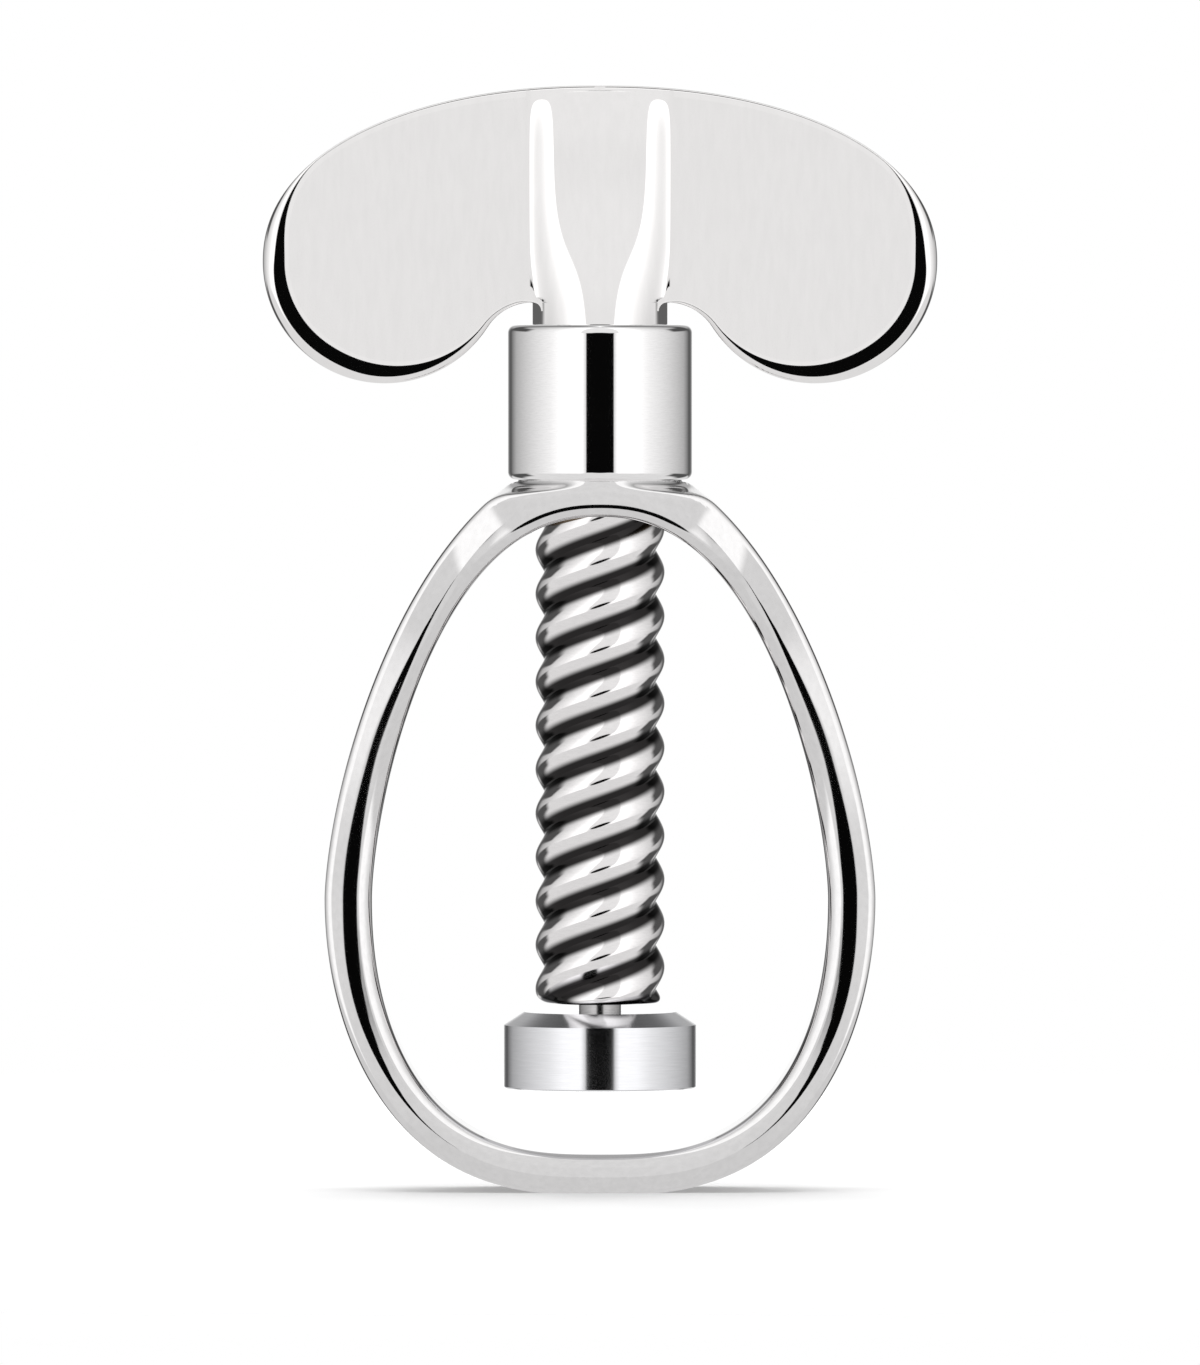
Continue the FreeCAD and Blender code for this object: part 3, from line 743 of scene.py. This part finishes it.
def build_studio():
    """Soft surroundings by direction: a dark opening in front, pale panels, dark side edges."""
    world = bpy.data.worlds.new("studio")
    bpy.context.scene.world = world
    world.use_nodes = True
    tree = world.node_tree
    tree.nodes.clear()

    def math_node(operation, *inputs):
        node = add_node(tree, "ShaderNodeMath", operation=operation)
        for socket, value in zip(node.inputs, inputs):
            if isinstance(value, (int, float)):
                socket.default_value = value
            else:
                tree.links.new(value, socket)
        return node.outputs[0]

    def step(value, low, high):
        node = add_node(tree, "ShaderNodeMapRange", interpolation_type="SMOOTHSTEP")
        node.inputs["From Min"].default_value = low
        node.inputs["From Max"].default_value = high
        tree.links.new(value, node.inputs["Value"])
        return node.outputs["Result"]

    def blend(share, first, second):
        """first where share is 0, second where it is 1."""
        return math_node(
            "ADD", math_node("MULTIPLY", first, math_node("SUBTRACT", 1.0, share)),
            math_node("MULTIPLY", second, share),
        )

    source = add_node(tree, "ShaderNodeTexCoord")
    split = add_node(tree, "ShaderNodeSeparateXYZ")
    tree.links.new(source.outputs["Generated"], split.inputs["Vector"])
    x, y, z = split.outputs
    backwards = math_node("MULTIPLY", y, -1.0)
    across = math_node("ABSOLUTE", math_node("ARCTAN2", x, backwards))
    azimuth = math_node("MULTIPLY", across, 180 / math.pi)
    elevation = math_node("MULTIPLY", math_node("ARCSINE", z), 180 / math.pi)

    panels = add_node(tree, "ShaderNodeValToRGB")
    levels = [
        (20, 1.0), (45, 0.95), (65, 0.75), (130, 0.35), (150, 0.07), (160, 0.12), (170, 0.4),
        (180, 0.9),
    ]
    ramp = panels.color_ramp
    while len(ramp.elements) < len(levels):
        ramp.elements.new(0.5)
    for element, (degrees, value) in zip(ramp.elements, levels):
        element.position = degrees / 180
        element.color = (value, value, value, 1)
    tree.links.new(math_node("DIVIDE", azimuth, 180.0), panels.inputs["Fac"])
    surroundings = math_node("MULTIPLY", panels.outputs["Color"], 1.25)

    # a pale gap round the opening, wider and crisper above it
    above = step(elevation, 1.5, 9)
    inner_edge = math_node("MULTIPLY_ADD", above, 5.5, 17.5)
    outer_edge = math_node("MULTIPLY_ADD", above, 0.6, 24.0)
    past_edge = math_node("SUBTRACT", azimuth, inner_edge)
    edge_width = math_node("SUBTRACT", outer_edge, inner_edge)
    gap = math_node("SUBTRACT", 1.0, step(math_node("DIVIDE", past_edge, edge_width), 0, 1))
    gap_tone = blend(step(elevation, 8, 24), 0.80, 0.84)
    surroundings = blend(gap, surroundings, gap_tone)

    ellipse = math_node(
        "SQRT",
        math_node(
            "ADD", math_node("POWER", math_node("DIVIDE", azimuth, 17.3), 2.0),
            math_node("POWER", math_node("DIVIDE", elevation, 10.5), 2.0),
        ),
    )
    surroundings = blend(step(ellipse, 0.95, 1.05), 0.002, surroundings)
    surroundings = blend(step(elevation, -15, -11), 0.74, surroundings)

    steepness = math_node("ABSOLUTE", elevation)
    flags = math_node("MULTIPLY", step(azimuth, 98, 112), step(azimuth, 160, 148))
    flags = math_node("MULTIPLY", flags, step(steepness, 7, 14))
    flags = math_node("MULTIPLY", flags, step(steepness, 38, 28))
    surroundings = blend(flags, surroundings, 0.08)
    behind = math_node("MULTIPLY", step(azimuth, 150, 162), step(elevation, 10, 18))
    behind = math_node("MULTIPLY", behind, step(elevation, 58, 50))
    surroundings = blend(behind, surroundings, 0.45)

    light_path = add_node(tree, "ShaderNodeLightPath")
    seen = blend(light_path.outputs["Is Camera Ray"], surroundings, 1.0)
    seen = blend(light_path.outputs["Is Diffuse Ray"], seen, 0.62)
    shader = add_node(tree, "ShaderNodeBackground")
    tree.links.new(seen, shader.inputs["Color"])
    output = add_node(tree, "ShaderNodeOutputWorld")
    tree.links.new(shader.outputs["Background"], output.inputs["Surface"])


def build_floor():
    material = bpy.data.materials.new("pale_floor")
    material.use_nodes = True
    tree = material.node_tree
    shader = tree.nodes["Principled BSDF"]
    shader.inputs["Roughness"].default_value = 0.9
    shader.inputs["Specular IOR Level"].default_value = 0.0
    grain = noise(tree, coordinates(tree, (1, 1, 1)), 30)
    tone = add_node(tree, "ShaderNodeMix", data_type="RGBA")
    tone.inputs["A"].default_value = (0.93, 0.93, 0.93, 1)
    tone.inputs["B"].default_value = (0.95, 0.95, 0.95, 1)
    tree.links.new(spread(tree, grain, 0, 1), tone.inputs["Factor"])
    tree.links.new(tone.outputs["Result"], shader.inputs["Base Color"])
    # the floor fades out into the white background
    place = add_node(tree, "ShaderNodeTexCoord")
    distance = add_node(tree, "ShaderNodeVectorMath", operation="LENGTH")
    tree.links.new(place.outputs["Object"], distance.inputs[0])
    fade = add_node(tree, "ShaderNodeMapRange", interpolation_type="SMOOTHSTEP")
    fade.inputs["From Min"].default_value = 0.18
    fade.inputs["From Max"].default_value = 0.45
    tree.links.new(distance.outputs["Value"], fade.inputs["Value"])
    clear = add_node(tree, "ShaderNodeBsdfTransparent")
    mix = add_node(tree, "ShaderNodeMixShader")
    tree.links.new(fade.outputs["Result"], mix.inputs["Fac"])
    tree.links.new(shader.outputs["BSDF"], mix.inputs[1])
    tree.links.new(clear.outputs["BSDF"], mix.inputs[2])
    tree.links.new(mix.outputs["Shader"], tree.nodes["Material Output"].inputs["Surface"])
    half = 0.5
    mesh = bpy.data.meshes.new("floor")
    corners = [(-half, -half, 0), (half, -half, 0), (half, half, 0), (-half, half, 0)]
    mesh.from_pydata(corners, [], [(0, 1, 2, 3)])
    mesh.materials.append(material)
    floor = bpy.data.objects.new("floor", mesh)
    bpy.context.scene.collection.objects.link(floor)
    floor.visible_glossy = False


def build_light(name, place, size, energy):
    """A soft lamp that looks at the foot and isn't mirrored in the metal."""
    light = bpy.data.lights.new(name, "AREA")
    light.shape = "SQUARE"
    light.size = size
    light.energy = energy
    lamp = bpy.data.objects.new(name, light)
    lamp.location = place
    lamp.rotation_euler = Vector(place).to_track_quat("Z", "Y").to_euler()
    lamp.visible_glossy = False
    bpy.context.scene.collection.objects.link(lamp)


def build_camera():
    data = bpy.data.cameras.new("camera")
    data.lens = 527.5
    data.sensor_width = 36
    data.clip_end = 20
    camera = bpy.data.objects.new("camera", data)
    distance = 3.0
    elevation = math.radians(1.2)
    aim = Vector((0, 0, 0.0761))
    back = Vector((0, -math.cos(elevation), math.sin(elevation)))
    camera.location = aim + back * distance
    camera.rotation_euler = (-back).to_track_quat("-Z", "Y").to_euler()
    bpy.context.scene.collection.objects.link(camera)
    bpy.context.scene.camera = camera


# the frame and the handle aren't mirrored in the other metal parts
for name in UNMIRRORED:
    bpy.data.objects[name].visible_glossy = False

build_studio()
build_floor()
build_light("overhead", (0, 0, 0.75), 0.7, 3.0)
build_light("back_light", (0, 0.6, 0.3), 0.6, 3.0)
build_camera()
bpy.context.scene.view_settings.view_transform = "Standard"
